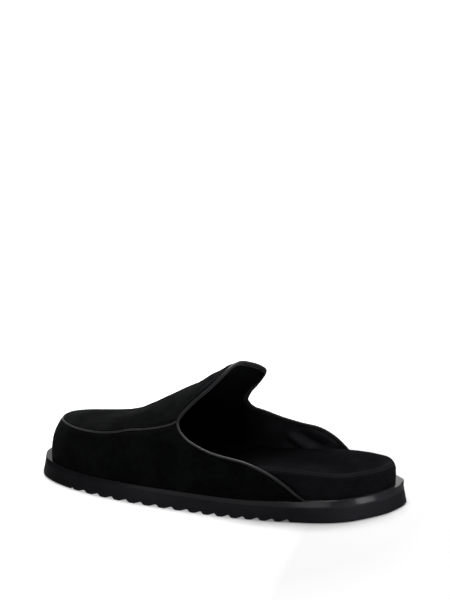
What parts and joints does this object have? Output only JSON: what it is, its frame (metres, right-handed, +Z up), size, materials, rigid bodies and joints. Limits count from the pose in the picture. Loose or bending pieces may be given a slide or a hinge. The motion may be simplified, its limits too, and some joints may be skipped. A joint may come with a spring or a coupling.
{
  "type": "slip-on shoe",
  "caption": "Backless slip-on shoe for the left foot, with a suede-like upper and tongue, a cupped footbed open at the heel, and a rubber sole rippled underneath.",
  "frame": {"origin": "on the floor under the middle of the sole's length and width", "axes": "+X towards the toe, +Y towards the outer side of a left foot, +Z up"},
  "size_m": [0.2936, 0.1113, 0.102],
  "materials": {
    "sole_rubber": "satin",
    "footbed_suede": "napped",
    "upper_suede": "napped",
    "binding_leather": "satin"
  },
  "bodies": {
    "root": {"outsole": "sole_rubber", "footbed": "footbed_suede", "upper": "upper_suede", "binding": "binding_leather"}
  },
  "joints": []
}
